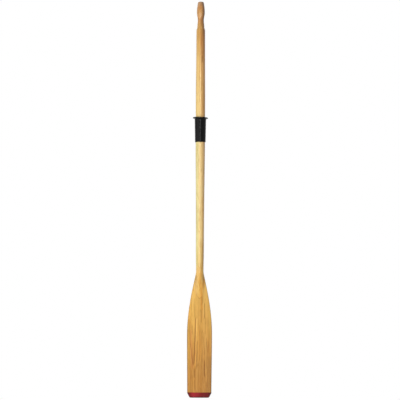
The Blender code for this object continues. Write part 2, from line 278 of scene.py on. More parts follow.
class OarTipColours(PropertyGroup):
    """Tones of the red lacquer."""

    red: colour("Red", "Lacquer on the flat of the tip", (0.225, 0.0075, 0.0105))
    # painted light: the brighter red on the left half of the tip
    bright: colour("Bright red", "Thin, bright lacquer in the left half", (0.50, 0.018, 0.034))
    # painted shade along the tip's edges and on its right, and also the darker worn fibres
    worn: colour("Worn", "Darkened lacquer along the edges", (0.058, 0.0078, 0.0085))
    gloss: factor("Gloss", "Specular level of the lacquer", 0.15)
    roughness: factor("Roughness", "Roughness of the lacquer", 0.28)
    coat_weight: factor("Coat weight", "Strength of the clear coat's gloss", 0.20)
    coat_roughness: factor("Coat roughness", "Roughness of the clear coat", 0.14)


class OarRubberColours(PropertyGroup):
    """Tones of the collar's rubber."""

    rubber: colour("Rubber", "The moulded rubber", (0.0022, 0.0021, 0.0022))
    bloom: colour("Bloom", "Greyish bloom on the rubber", (0.0085, 0.0078, 0.0088))
    gloss: factor("Gloss", "Specular level of the rubber", 0.10)
    roughness: factor("Roughness", "Roughness of the rubber", 0.22)


class OarStageSettings(PropertyGroup):
    """Camera, lamps and floor."""

    distance: length("Camera distance", "From the camera to the oar's axis", 3.4)
    frame_height: length("Frame height", "What the picture spans at the axis", 2.1254)
    frame_top: length("Frame top", "Highest point of the picture at the axis", 0.6356)
    axis_shift: length("Axis shift", "How far right of the picture's middle the axis stands", 0.0004)
    roll: angle("Camera roll", "How far the picture turns the oar's head to the right", 0.24)
    floor_drop: length("Floor drop", "From the blade's end down to the floor", 0.35)
    key_turn: angle("Key light turn", "How far left of the camera the key light stands", 48)
    key_distance: length("Key distance", "From the key light to the oar", 2.6)
    key_width: length("Key width", "Width of the key light", 2.4)
    key_height: length("Key height", "Height of the key light", 2.6)
    key_power: watts("Key power", "Power of the key light in watts", 32)
    strip_turn: angle("Strip light turn", "How far left of the camera the strip light stands", 5)
    strip_distance: length("Strip distance", "From the strip light to the oar", 3.0)
    strip_width: length("Strip width", "Width of the strip light", 0.30)
    strip_height: length("Strip height", "Height of the strip light", 2.15)
    strip_rise: length("Strip rise", "How far the strip light's middle is above the picture's", 0.30)
    strip_power: watts("Strip power", "Power of the strip light in watts", 33)
    ambient: colour("Ambient", "Light from all round", (0.29, 0.27, 0.246))
    ambient_tilt: factor("Ambient tilt", "How much dimmer the soft light is from the right", 0.78)


GROUPS = {
    "oar_grip": OarGripSizes,
    "oar_loom": OarLoomSizes,
    "oar_blade": OarBladeSizes,
    "oar_collar": OarCollarSizes,
    "oar_wood": OarWoodColours,
    "oar_tip": OarTipColours,
    "oar_rubber": OarRubberColours,
    "oar_stage": OarStageSettings,
}


def eased(start, end, share):
    """The value from start to end, level at both, as share goes from 0 to 1."""
    share = min(max(share, 0.0), 1.0)
    return start + (end - start) * share * share * (3 - 2 * share)


def share_of(height, top, foot):
    """How far down a height lies between a top, at 0, and a foot, at 1."""
    return (top - height) / (top - foot)


def spaced(top, foot, gap):
    """Heights from a top down to, but without, a foot, about a gap apart."""
    steps = max(round((top - foot) / gap), 1)
    return [top + (foot - top) * step / steps for step in range(steps)]


def close_rises(reach, steps):
    """Distances from an end up to, but without, a reach, closest together at the end."""
    return [reach * (1 - math.cos(math.pi / 2 * step / steps)) for step in range(steps)]


def quarter_turn(steps, first=0):
    """Sine and cosine at even steps of a quarter turn."""
    turns = [math.pi / 2 * step / steps for step in range(first, steps + 1)]
    return [(math.sin(turn), math.cos(turn)) for turn in turns]


def rounded_corner(depth, rounding):
    """How far a rounded corner has drawn in at a depth under the face that it ends in."""
    if depth >= rounding:
        return 0.0
    return rounding - math.sqrt(max(rounding**2 - (rounding - depth) ** 2, 0.0))


def place_where(measure, target, low, high):
    """Place between low and high at which a measure that grows passes its target, by halving."""
    for _ in range(HALVINGS):
        middle = (low + high) / 2
        if measure(middle) < target:
            low = middle
        else:
            high = middle
    return (low + high) / 2


class WoodForm:
    """The smooth form that the glued wooden pieces make together."""

    def __init__(self, scene):
        self.grip = scene.oar_grip
        self.loom = scene.oar_loom
        self.blade = scene.oar_blade
        self.top = GRIP_END
        self.seat = SEAT
        self.end = BLADE_END
        self.bulb = GRIP_END - self.grip.bulb_length
        self.neck = self.bulb - self.grip.waist_length
        self.palm = self.neck - self.grip.palm_length
        self.shoulder = self.palm - self.grip.flare_length
        self.widest = BLADE_END + self.blade.body_length
        self.throat = self.widest + self.blade.swell_length
        self.loom_foot = self.throat + self.loom.foot_length
        self.levels = (
            (self.bulb, self.grip.bulb_diameter),
            (self.neck, self.grip.neck_diameter),
            (self.palm, self.grip.palm_diameter),
            (self.shoulder, self.grip.shoulder_diameter),
            (COLLAR_HIGH.z + COLLAR_TRAVEL, self.loom.diameter),
            (COLLAR_LOW.z - COLLAR_TRAVEL, self.loom.diameter),
        )
        self.wing_top = place_where(
            lambda height: self.seam(height) - self.half_width(height),
            -WELD_DISTANCE,
            self.widest,
            self.throat,
        )
        self.run_out = place_where(
            lambda height: self.half_depth(height, 0.0), CORE_HALF, TIP_JOINT, self.throat
        )
        self.heights = self.all_heights()

    def bulb_radius(self, height):
        """Radius from the grip's rounded end down to the widest part of its bulb."""
        end, bulb = self.grip.end_diameter / 2, self.grip.bulb_diameter / 2
        swell = math.sin(math.pi / 2 * share_of(height, GRIP_END, self.bulb))
        drawn_in = rounded_corner(GRIP_END - height, self.grip.end_rounding)
        return end + (bulb - end) * swell - drawn_in

    def radius(self, height):
        """Radius of the round wood above the throat."""
        if height > self.bulb:
            return self.bulb_radius(height)
        for (top, above), (foot, below) in zip(self.levels, self.levels[1:]):
            if height > foot:
                return eased(above, below, share_of(height, top, foot)) / 2
        thick, slim = self.loom.diameter, self.loom.foot_diameter
        if height < self.loom_foot:
            drawn = share_of(height, self.loom_foot, self.throat)
            return eased(slim, self.loom.throat_diameter, drawn) / 2
        taper = math.sin(math.pi / 2 * share_of(height, self.levels[-1][0], self.loom_foot))
        return (thick - (thick - slim) * taper) / 2

    def corner_arc(self):
        """How far above the blade's end the cut corner's rounding begins."""
        slope = self.blade.corner_width / self.blade.corner_height
        return self.blade.corner_rounding * (1 - slope / math.hypot(1, slope))

    def corner_half_width(self, from_end):
        """Half width that the cut corner leaves at a distance above the blade's end."""
        slope = self.blade.corner_width / self.blade.corner_height
        flat = self.blade.end_width / 2 - self.blade.corner_width
        rounding = self.blade.corner_rounding
        if from_end < self.corner_arc():
            centre = flat + rounding * (slope - math.hypot(1, slope))
            return centre + math.sqrt(max(rounding**2 - (rounding - from_end) ** 2, 0.0))
        return flat + from_end * slope

    def softly_down(self, height, reach):
        """How far a height lies below the throat, as a share of a reach, with a gentle start."""
        down = self.throat - height
        soft = down**2 / (down + self.blade.softness)
        full = reach**2 / (reach + self.blade.softness)
        return min(soft / full, 1.0)

    def half_width(self, height):
        """Half width of the oar at a height."""
        if height >= self.throat:
            return self.radius(height)
        widest = BLADE_WIDTH / 2
        if height > self.widest:
            throat = self.loom.throat_diameter / 2
            turned = math.pi / 2 * self.softly_down(height, self.blade.swell_length)
            return throat + (widest - throat) * math.sin(turned) ** self.blade.swell_power
        side = eased(widest, self.blade.end_width / 2, share_of(height, self.widest, BLADE_END))
        return min(side, self.corner_half_width(height - BLADE_END))

    def board_depth(self, height, across):
        """Half thickness of the crowned board, without its spine."""
        blade = self.blade
        edge = blade.edge_thickness / 2
        thinned = blade.middle_thickness - blade.end_thickness
        middle = (blade.middle_thickness - thinned * share_of(height, self.throat, BLADE_END)) / 2
        crowned = edge + (middle - edge) * (1 - (across / (BLADE_WIDTH / 2)) ** 2)
        from_side = self.half_width(height) - abs(across)
        inset = 1 - min(from_side / blade.edge_rounding, 1.0)
        return crowned * math.sqrt(max(1 - inset**2, 0.0))

    def spine_depth(self, height, across):
        """Half thickness of the spine, round at the throat and a low bell further down."""
        blade = self.blade
        flattened = (self.throat - height) / blade.spine_flatten_length
        bend = eased(blade.round_power, blade.bell_power, flattened)
        fallen = self.softly_down(height, blade.spine_length)
        crest = self.loom.throat_diameter / 2 * (1 - fallen) ** blade.spine_drop_power
        spread = min(blade.spine_width / 2, self.half_width(height))
        return crest * max(1 - (across / spread) ** 2, 0.0) ** bend

    def half_depth(self, height, across):
        """Half thickness of the oar at a height and a distance from its middle line."""
        if height >= self.throat:
            return math.sqrt(max(self.radius(height) ** 2 - across**2, 0.0))
        board = self.board_depth(height, across)
        spine = self.spine_depth(height, across)
        merge = self.blade.merge_power
        return (board**merge + spine**merge) ** (1 / merge)

    def seam(self, height):
        """Half width of the core's tongue in the blade, where the wings are glued to it."""
        wide, narrow = self.loom.throat_diameter, self.blade.tongue_width
        return (wide - (wide - narrow) * share_of(height, self.throat, BLADE_END)) / 2

    def core_edge(self, height):
        """Half width of the core at a height."""
        if height >= self.throat:
            return self.radius(height)
        return min(self.seam(height), self.half_width(height))

    def cover(self, height):
        """Half width of the outer laminations, where the wood is thicker than the core."""
        if height >= self.throat:
            return math.sqrt(self.radius(height) ** 2 - CORE_HALF**2)
        outer = self.core_edge(height)
        if self.half_depth(height, 0.0) <= CORE_HALF:
            return 0.0
        if self.half_depth(height, outer) >= CORE_HALF:
            return outer
        return place_where(lambda x: -self.half_depth(height, x), -CORE_HALF, 0.0, outer)

    def cover_turn(self, height):
        """Angle on the round loom from its front to the edge of the front lamination."""
        return math.acos(CORE_HALF / self.radius(max(height, self.throat)))

    def all_heights(self):
        """Heights of the rings of every wooden piece, closest where it curves most."""
        rounded = GRIP_END - self.grip.end_rounding
        corner_top = BLADE_END + self.blade.corner_height
        arc_top = BLADE_END + self.corner_arc()
        heights = [
            GRIP_END - rise for rise in close_rises(self.grip.end_rounding, ROUNDING_STEPS)
        ]
        heights += spaced(rounded, self.shoulder, GRIP_STEP)
        heights += spaced(self.shoulder, self.loom_foot, LOOM_STEP)
        heights += spaced(self.loom_foot, self.throat, LOOM_FOOT_STEP)
        heights += spaced(self.throat, self.widest, SWELL_STEP)
        heights += spaced(self.widest, corner_top, BLADE_STEP)
        heights += spaced(corner_top, arc_top, CORNER_SIDE_STEP)
        heights += spaced(arc_top, BLADE_END, CORNER_STEP) + [BLADE_END]
        heights += [
            self.run_out + RUN_OUT_REACH * (step / RUN_OUT_STEPS) ** 2
            for step in range(RUN_OUT_STEPS)
        ]
        heights += [BLADE_END + rise for rise in close_rises(self.blade.tip_rounding, LIP_STEPS)]
        return sorted(set(heights + [self.wing_top, TIP_JOINT]), reverse=True)

    def between(self, top, foot):
        """The rings' heights from a top down to a foot."""
        return [h for h in self.heights if foot <= h <= top]


def lamination_ring(form, side, height):
    """Outline of an outer lamination; side is -1 for the front one and 1 for the back one."""
    edge = form.cover(height)
    turn = form.cover_turn(height)
    points = []
    for step in range(ARC_STEPS + 1):
        across = edge * math.sin(turn * (2 * step / ARC_STEPS - 1)) / math.sin(turn)
        points.append((across, side * max(form.half_depth(height, across), CORE_HALF)))
    return points + [(edge, side * CORE_HALF), (-edge, side * CORE_HALF)]


def core_ring(form, height):
    """Outline of the core: flat under the outer laminations, and the oar's own form beside them."""
    inner, outer = form.cover(height), form.core_edge(height)
    turn = form.cover_turn(height)
    strip = []
    for step in range(STRIP_STEPS + 1):
        angle_here = turn + (math.pi / 2 - turn) * step / STRIP_STEPS
        share = (math.sin(angle_here) - math.sin(turn)) / (1 - math.sin(turn))
        across = inner + (outer - inner) * share
        strip.append((across, min(form.half_depth(height, across), CORE_HALF)))
    right = [(x, -y) for x, y in strip] + [(x, y) for x, y in reversed(strip)]
    return right + [(-x, -y) for x, y in right]


def board_spread(inner, outer, rounding):
    """Distances across a board, from its inner edge to its rounded outer edge."""
    start = max(outer - rounding, inner)
    flat = [inner + (start - inner) * step / BOARD_STEPS for step in range(BOARD_STEPS)]
    return flat + [start + (outer - start) * sine for sine, _ in quarter_turn(EDGE_STEPS)]


def wing_ring(form, side, height):
    """Outline of a wing on the side of x that has the sign of side."""
    inner, outer = form.core_edge(height), form.half_width(height)
    spread = board_spread(inner, outer, form.blade.edge_rounding)
    front = [(side * x, -form.half_depth(height, x)) for x in spread]
    return front + [(x, -y) for x, y in reversed(front)]


def tip_ring(form, height):
    """Outline of the tip strip, drawn in where the blade's end is rounded."""
    drawn_in = rounded_corner(height - BLADE_END, form.blade.tip_rounding)
    outer = form.half_width(height)
    spread = board_spread(0.0, outer, form.blade.edge_rounding)
    right = []
    for x in spread:
        depth = max(form.half_depth(height, x) - drawn_in, 0.0)
        right.append((x * (outer - drawn_in) / outer, -depth))
    front = [(-x, y) for x, y in reversed(right)] + right
    return front + [(x, -y) for x, y in reversed(front)]


def finished_mesh(name, points, faces):
    """A welded mesh whose faces look outwards, shaded smooth between its sharp edges."""
    mesh = bpy.data.meshes.new(name)
    mesh.from_pydata(points, [], faces)
    shape = bmesh.new()
    shape.from_mesh(mesh)
    bmesh.ops.remove_doubles(shape, verts=shape.verts, dist=WELD_DISTANCE)
    bmesh.ops.dissolve_degenerate(shape, edges=shape.edges, dist=WELD_DISTANCE)
    bmesh.ops.recalc_face_normals(shape, faces=shape.faces)
    if shape.calc_volume(signed=True) < 0:
        bmesh.ops.reverse_faces(shape, faces=shape.faces)
    shape.to_mesh(mesh)
    shape.free()
    mesh.shade_smooth()
    mesh.set_sharp_from_angle(angle=SHARP_ANGLE)
    return mesh


def wall_faces(rows, count):
    """Faces between rings of as many points; rows holds the numbers of rings that are joined."""
    faces = []
    for row, next_row in rows:
        here, there = row * count, next_row * count
        for spot in range(count):
            after = (spot + 1) % count
            faces.append((here + spot, here + after, there + after, there + spot))
    return faces


def lofted(name, heights, ring):
    """A closed mesh through the rings at some heights; ring gives the outline at a height."""
    outlines = [ring(height) for height in heights]
    count = len(outlines[0])
    points = [(x, y, z) for z, outline in zip(heights, outlines) for x, y in outline]
    faces = wall_faces([(row, row + 1) for row in range(len(heights) - 1)], count)
    last = (len(heights) - 1) * count
    faces.append(tuple(range(count)))
    faces.append(tuple(range(last, last + count)))
    return finished_mesh(name, points, faces)


def placed(name, mesh, material, body, node):
    """A piece with its finish, which rides on a body and stands for one of the solids."""
    piece = bpy.data.objects.new(name, mesh)
    bpy.context.scene.collection.objects.link(piece)
    mesh.materials.append(material)
    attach(piece, body)
    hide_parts(node)
    return piece


class ShaderTree:
    """Adds nodes to a material or a world and joins them."""

    def __init__(self, owner):
        owner.use_nodes = True
        self.graph = owner.node_tree

    def feed(self, socket, value):
        """Joins a socket to another one, or gives it a value."""
        if isinstance(value, bpy.types.NodeSocket):
            self.graph.links.new(value, socket)
        else:
            socket.default_value = value

    def fill(self, node, inputs):
        """Feeds inputs of a node, by their names or numbers."""
        for socket, value in inputs.items():
            self.feed(node.inputs[socket], value)

    def surface(self, inputs):
        """Feeds inputs of the surface's own shader."""
        self.fill(self.graph.nodes["Principled BSDF"], inputs)

    def node(self, kind, inputs, **settings):
        """A node of a kind, with values or links for its inputs."""
        made = self.graph.nodes.new(kind)
        for name, value in settings.items():
            setattr(made, name, value)
        self.fill(made, inputs)
        return made

    def split(self, vector):
        """The x, y and z of a vector."""
        return self.node("ShaderNodeSeparateXYZ", {0: vector}).outputs

    def math(self, operation, *values, clamped=False):
        """The result of one sum."""
        inputs = dict(enumerate(values))
        made = self.node("ShaderNodeMath", inputs, operation=operation, use_clamp=clamped)
        return made.outputs[0]

    def product(self, first, *others):
        """Several values multiplied, from the first to the last."""
        for other in others:
            first = self.math("MULTIPLY", first, other)
        return first

    def highest(self, first, *others):
        """The highest of several values."""
        for other in others:
            first = self.math("MAXIMUM", first, other)
        return first

    def square(self, value):
        """A value times itself."""
        return self.math("POWER", value, 2.0)

    def distance(self, value, centre):
        """How far a value lies from a centre, on either side of it."""
        return self.math("ABSOLUTE", self.math("SUBTRACT", value, centre))

    def line(self, value, low, high, at_low=0.0, at_high=1.0, **settings):
        """A value that runs evenly from at_low to at_high as it goes from low to high."""
        inputs = {0: value, 1: low, 2: high, 3: at_low, 4: at_high}
        return self.node("ShaderNodeMapRange", inputs, **settings).outputs[0]

    def smooth(self, value, low, high, at_low=0.0, at_high=1.0):
        """A value eased from at_low to at_high as it goes from low to high."""
        return self.line(value, low, high, at_low, at_high, interpolation_type="SMOOTHSTEP")

    def falling(self, value, low, high):
        """A value eased from 1 to 0 as it goes from low to high."""
        return self.smooth(value, low, high, 1.0, 0.0)

    def spread(self, noise, at_low, at_high):
        """Noise whose usual span is stretched evenly from at_low to at_high."""
        return self.line(noise, *NOISE_SPAN, at_low, at_high)

    def blend(self, share, first, second, kind="MIX"):
        """Two colours, blended by a share."""
        inputs = {0: share, MIX_FIRST: rgba(first), MIX_SECOND: rgba(second)}
        made = self.node("ShaderNodeMix", inputs, data_type="RGBA", blend_type=kind)
        return made.outputs[MIX_RESULT]

    def tinted(self, share, tone, tint):
        """A tone of which a share is multiplied by a tint."""
        return self.blend(share, tone, tint, "MULTIPLY")

    def noise(self, vector, scales, shift=0.0, detail=3.0, roughness=0.55):
        """Soft noise between 0 and 1, with a number of grains for each metre along x, y and z."""
        mapping = {"Vector": vector, "Scale": scales, "Location": (shift, shift, shift)}
        inputs = {
            "Vector": self.node("ShaderNodeMapping", mapping).outputs[0],
            "Scale": 1.0,
            "Detail": detail,
            "Roughness": roughness,
        }
        return self.node("ShaderNodeTexNoise", inputs).outputs[0]

    def bump(self, height, strength, depth):
        """The surface's normal, bumped by a height."""
        inputs = {"Strength": strength, "Distance": depth, "Height": height}
        return self.node("ShaderNodeBump", inputs).outputs[0]

    def ramp(self, value, stops):
        """Colours along a value, from a list of places and colours."""
        made = self.node("ShaderNodeValToRGB", {0: value})
        elements = made.color_ramp.elements
        for element, (place, tone) in zip((elements[0], elements[1]), (stops[0], stops[-1])):
            element.position = place
            element.color = rgba(tone)
        for place, tone in stops[1:-1]:
            elements.new(place).color = rgba(tone)
        return made.outputs[0]


def rgba(tone):
    """A colour of three numbers with full opacity; a socket stays as it is."""
    return tone if isinstance(tone, bpy.types.NodeSocket) else (*tone, 1.0)


def grey(level):
    """A grey of one level."""
    return (level, level, level)


def from_mark(mark, span):
    """A span that is given from a mark, as places."""
    return tuple(mark + offset for offset in span)


# Tone of the wood along the oar: a landmark of its form, the rise above that, and the tone there
TONES = (
    ("end", 0.0, "blade_foot"),
    ("end", 0.12, "blade_foot"),
    ("widest", -0.03, "blade"),
    ("throat", -0.18, "shoulders"),
    ("throat", -0.01, "throat"),
    ("throat", 0.18, "lower_loom"),
    ("throat", 0.48, "pale_loom"),
    ("seat", -0.12, "pale_loom"),
    ("seat", 0.08, "collar_loom"),
    ("seat", 0.30, "upper_loom"),
    ("seat", 0.43, "top_loom"),
    ("palm", 0.0, "top_loom"),
    ("neck", 0.0, "grip"),
    ("bulb", 0.0, "bulb"),
    ("top", -0.034, "grip"),
    ("top", -0.010, "grip_end"),
)

# How a board was sawn from its log: where the log's heart lies in x and y at the arches' foot, how
# it leans along the oar, the radius of one growth ring there and the gap between rings, how dark
# the rings draw, how strong its broad streaks are, a seed for its figure, and its shade.
Board = namedtuple("Board", "heart lean ring_radius ring_gap ring_depth streaks seed shade")

ARCH_FOOT = -1.300
BOARDS = {
    "loom_front": Board(
        (0.210, 0.080), (0.002, 0.0), 0.2, 0.0034, 0.30, 0.1, 3.1, (1.0, 1.0, 1.0)
    ),
    "loom_core": Board(
        (-0.260, 0.060), (0.001, 0.0), 0.2, 0.0062, 0.50, 0.3, 7.7, (0.99, 0.97, 0.93)
    ),
    "loom_back": Board(
        (0.170, -0.090), (-0.002, 0.0), 0.2, 0.0037, 0.40, 0.1, 12.9, (1.0, 0.99, 0.97)
    ),
    "blade_wing_left": Board(
        (-0.0325, 0.0345), (0.0, -0.008), 0.0395, 0.0031, 0.9, 0.2, 18.3, (1.03, 1.02, 0.97)
    ),
    "blade_wing_right": Board(
        (0.190, 0.050), (0.004, 0.0), 0.2, 0.0051, 0.60, 0.1, 24.6, (1.0, 0.99, 1.02)
    ),
}

# A line drawn along the oar, for grain, stains, blushes, flames and painted highlights: its distance right of
# the middle line at its upper and its lower end, where these ends are, its half width and its strength. It bends
# most at its lower end.
GrainLine = namedtuple("GrainLine", "across_top across_foot top foot half_width strength")

# Dark grain of the blade
DARK_LINES = (
    GrainLine(-0.0270, -0.0235, -0.940, -1.065, 0.0040, 0.55),
    GrainLine(-0.0212, -0.0318, -1.045, -1.310, 0.0048, 1.00),
    GrainLine(-0.0515, -0.0345, -1.060, -1.308, 0.0040, 0.65),
    GrainLine(-0.0390, -0.0350, -1.085, -1.150, 0.0046, 0.60),
    GrainLine(-0.0106, -0.0150, -1.165, -1.330, 0.0040, 0.60),
    GrainLine(-0.0260, -0.0245, -1.315, -1.380, 0.0065, 0.70),
    GrainLine(-0.0245, -0.0240, -1.372, -1.446, 0.0050, 0.60),
    GrainLine(0.0150, 0.0160, -0.925, -0.990, 0.0046, 0.60),
    GrainLine(0.0258, 0.0262, -0.965, -1.065, 0.0044, 1.00),
    GrainLine(0.0080, 0.0095, -1.000, -1.085, 0.0060, 0.55),
    GrainLine(0.0272, 0.0285, -1.270, -1.375, 0.0046, 1.00),
    GrainLine(0.0140, 0.0150, -1.110, -1.300, 0.0036, 0.45),
    GrainLine(0.0230, 0.0235, -1.120, -1.260, 0.0034, 0.50),
    GrainLine(0.0380, 0.0385, -1.150, -1.330, 0.0036, 0.45),
    GrainLine(0.0015, 0.0030, -1.080, -1.220, 0.0034, 0.45),
    GrainLine(0.0290, 0.0285, -1.040, -1.260, 0.0060, 0.22),
)
# Pale grain of the blade, and painted highlights: a gloss line down the loom, a wider one just above the collar,
# and two glints on the grip
PALE_GRAIN_AND_HIGHLIGHTS = (
    # painted highlight: the gloss line down the front of the loom above the collar
    GrainLine(-0.0004, 0.0010, 0.2850, 0.0200, 0.0038, 0.55),
    # painted highlights: two glints on the grip
    GrainLine(-0.0010, -0.0010, 0.5640, 0.5420, 0.0050, 0.50),
    GrainLine(0.0020, 0.0020, 0.5240, 0.5080, 0.0040, 0.35),
    GrainLine(-0.0158, -0.0235, -1.045, -1.318, 0.0050, 1.0),
    GrainLine(-0.0135, -0.0155, -1.275, -1.449, 0.0042, 1.0),
    GrainLine(0.0200, 0.0205, -0.965, -1.060, 0.0045, 0.6),
    GrainLine(0.0355, 0.0360, -1.300, -1.400, 0.0045, 0.6),
    GrainLine(0.0310, 0.0315, -1.130, -1.260, 0.0036, 0.5),
    # painted highlight on the loom just above the collar
    GrainLine(0.0035, 0.0035, 0.1600, 0.0150, 0.0075, 0.55),
    GrainLine(-0.0005, -0.0005, -1.080, -1.445, 0.0050, 0.22),
)
# Orange flames on the blade's shoulders
FLAMES = (
    GrainLine(-0.0010, -0.0010, -0.770, -0.875, 0.0150, 0.40),
    GrainLine(0.0230, 0.0030, -0.832, -0.918, 0.0115, 1.00),
    GrainLine(0.0090, 0.0135, -0.885, -1.020, 0.0090, 1.00),
)
# Pink wood at the left of the blade
PINK_LINES = (GrainLine(-0.0450, -0.0385, -1.110, -1.330, 0.0120, 1.0),)
# Greyed wood at the right of the blade's foot
GREY_LINES = (GrainLine(0.0600, 0.0580, -1.250, -1.460, 0.0350, 0.5),)
# Yellow wood along the blade's sides
YELLOW_LINES = (
    GrainLine(-0.0600, -0.0600, -1.080, -1.330, 0.0130, 1.0),
    GrainLine(0.0560, 0.0560, -1.010, -1.160, 0.0110, 0.7),
)
# Redder wood on the grip and on the loom
BLUSHES = (
    GrainLine(0.0000, 0.0010, 0.6220, 0.5650, 0.0090, 0.55),
    GrainLine(0.0000, 0.0020, 0.4700, 0.3700, 0.0075, 0.45),
    GrainLine(0.0030, 0.0030, 0.5480, 0.5100, 0.0080, 0.50),
    GrainLine(0.0125, 0.0125, -0.4000, -0.7000, 0.0075, 0.50),
)
# Soil on the grip and on the loom under it
STAINS = (
    GrainLine(0.0020, 0.0030, 0.550, 0.480, 0.0090, 0.9),
    GrainLine(-0.0140, -0.0150, 0.600, 0.545, 0.0080, 0.7),
    GrainLine(0.0050, 0.0060, 0.440, 0.330, 0.0060, 0.4),
    GrainLine(0.0080, 0.0100, 0.345, 0.290, 0.0080, 0.6),
)
PALER = (1.26, 1.42, 1.85)
LINE_FADE = 0.018
LINE_WANDER = 0.0016

# How far the grain lines of the back lie from those of the front, and where the change is made
BACK_BLEND = (0.0, 0.004)
BACK_SHIFT = 0.0115
BACK_RISE = 0.045

# Grains of figure for each metre along x, y and z
WANDER_GRAIN = (26.0, 26.0, 3.0)
STREAK_GRAIN = (170.0, 170.0, 5.0)
BAND_GRAIN = (75.0, 75.0, 2.5)
FIBRE_GRAIN = (1500.0, 1500.0, 24.0)
DASH_GRAIN = (300.0, 300.0, 24.0)
CLOUD_GRAIN = (34.0, 34.0, 11.0)
SOIL_GRAIN = (110.0, 110.0, 60.0)
LINE_GRAIN = (0.0, 0.0, 14.0)
LACQUER_CLOUD_GRAIN = (45.0, 45.0, 90.0)
LACQUER_FIBRE_GRAIN = (900.0, 900.0, 40.0)
BLOOM_GRAIN = (70.0, 70.0, 34.0)
PORE_GRAIN = (2600.0, 2600.0, 2600.0)
RUB_GRAIN = (420.0, 420.0, 24.0)

# Here and below, a span of two numbers says where something eases in or out, and two more numbers
# say how strong it is at the span's ends.

# Growth rings: their wander, where a ring turns dark and ends, and how much the years differ
WANDER_REACH = 0.0022
LATEWOOD_START = (0.30, 0.93)
LATEWOOD_END = (0.95, 1.0)
YEAR_SPREAD = 7.31
YEAR_STRENGTH = (0.35, 1.0)

# Heartwood on the loom's right, and sapwood on its left. The line between starts at a distance
# right of the middle line and leans as it rises. The loom's figure begins above the throat.
# The heartwood's darker right half is partly painted shade, and a second step of its tint near the right edge is
# painted shade.
LOOM_FIGURE = (0.0, 0.05)
HEARTWOOD_START = 0.0043
HEARTWOOD_LEAN = -0.0105
HEARTWOOD_EDGE = (-0.0006, 0.0008)
HEARTWOOD_CLOUDS = (0.3, 0.6, 0.6, 1.0)
HEARTWOOD_HEIGHTS = (-0.2, 0.0, 0.4, 1.0)
HEARTWOOD_TOP = (-0.03, 0.0)
RIGHT_EDGE_SHADE = (0.014, 0.022)
SAPWOOD_EDGE = (-0.010, -0.006)
SAPWOOD_HEIGHTS = (-0.10, 0.02, 1.0, 0.35)

# The cloudy flame under the throat: its sides, and its foot and top as seen from the throat
FLAME_LEFT = (-0.005, 0.003)
FLAME_RIGHT = (0.010, 0.021)
FLAME_CLOUDS = (0.40, 0.53, 0.15, 0.6)
FLAME_FOOT = (-0.30, -0.10)
FLAME_TOP = (-0.02, 0.03)

# Bands, streaks and dashes of the wood, by how high their noise is, and its clouds and fibres
BAND_SPAN = (0.40, 0.62)
STREAK_SPAN = (0.46, 0.66, 0.0, 0.8)
DASH_SPAN = (0.58, 0.68, 0.0, 0.6)
CLOUD_LEVELS = (0.93, 1.07)
FIBRE_LEVELS = (0.93, 1.05)

# Glue lines, by the distance from the joint; those of the wings end at the throat
GLUE_TOP = (-0.01, 0.0)
WING_GLUE = (0.0001, 0.0003)
COVER_GLUE = (0.00005, 0.0002, 0.6, 0.0)

# Painted shade along the blade's edges: where it turns sideways, and close to its side
EDGE_SHADE_TOP = (-0.04, 0.0)
SHADE_TURN = (0.2, 0.75)
EDGE_SHADE_SPAN = (-0.0075, -0.0015)
EDGE_SHADE_STRENGTH = 0.7

# Soil of the grip, in clouds and on its flat end, and painted shade at the right of the palm, on its left outline
# and on its right side, from a height on the loom up.
SOIL_SPAN = (0.42, 0.62)
SOIL_STRENGTH = 0.5
END_SOIL = (0.3, 0.9, 0.0, 0.8)
PALM_SHADE = (0.002, 0.015)
PALM_SHADE_DROP = 0.05
LEFT_OUTLINE_SHADE = (-0.98, -0.6, 0.6, 0.0)
RIGHT_SHADE_TURN = (0.25, 0.95)
RIGHT_SHADE_FOOT = 0.25

# Strength and depth of each finish's bumps, and how much its roughness varies
WOOD_BUMP = (0.25, 0.00012)
LACQUER_BUMP = (0.2, 0.0001)
RUBBER_BUMP = (0.2, 0.00006)
RING_RELIEF = -0.5
WOOD_ROUGHER = (-0.06, 0.08)
LACQUER_ROUGHER = (0.0, 0.12)
RUBBER_ROUGHER = (-0.06, 0.1)
BARE_ROUGHNESS = (0.55, 0.7)

# Painted light on the lacquer's left and painted shade along its edges and on its right, in distances right of the
# middle line and above its foot
LIT_LEFT = (-0.052, -0.034)
LIT_RIGHT = (-0.022, 0.012)
LIT_CLOUDS = (0.5, 1.0)
SHADE_MIDDLE = -0.003
SHADED_SIDES = (0.044, 0.062)
SHADED_FOOT = (0.002, 0.012)
SHADED_FOOT_SHARE = 0.75
SHADED_RIGHT = (0.010, 0.050, 0.0, 0.45)
SHADE_CLOUDS = (0.7, 1.1)
WORN_FIBRES = (0.55, 0.75, 0.0, 0.3)

# Bloom of the rubber, in clouds and where it has been rubbed
BLOOM_SPAN = (0.42, 0.68)
BLOOM_SHARE = 0.55
RUBBED_SPAN = (0.60, 0.75, 0.0, 0.5)


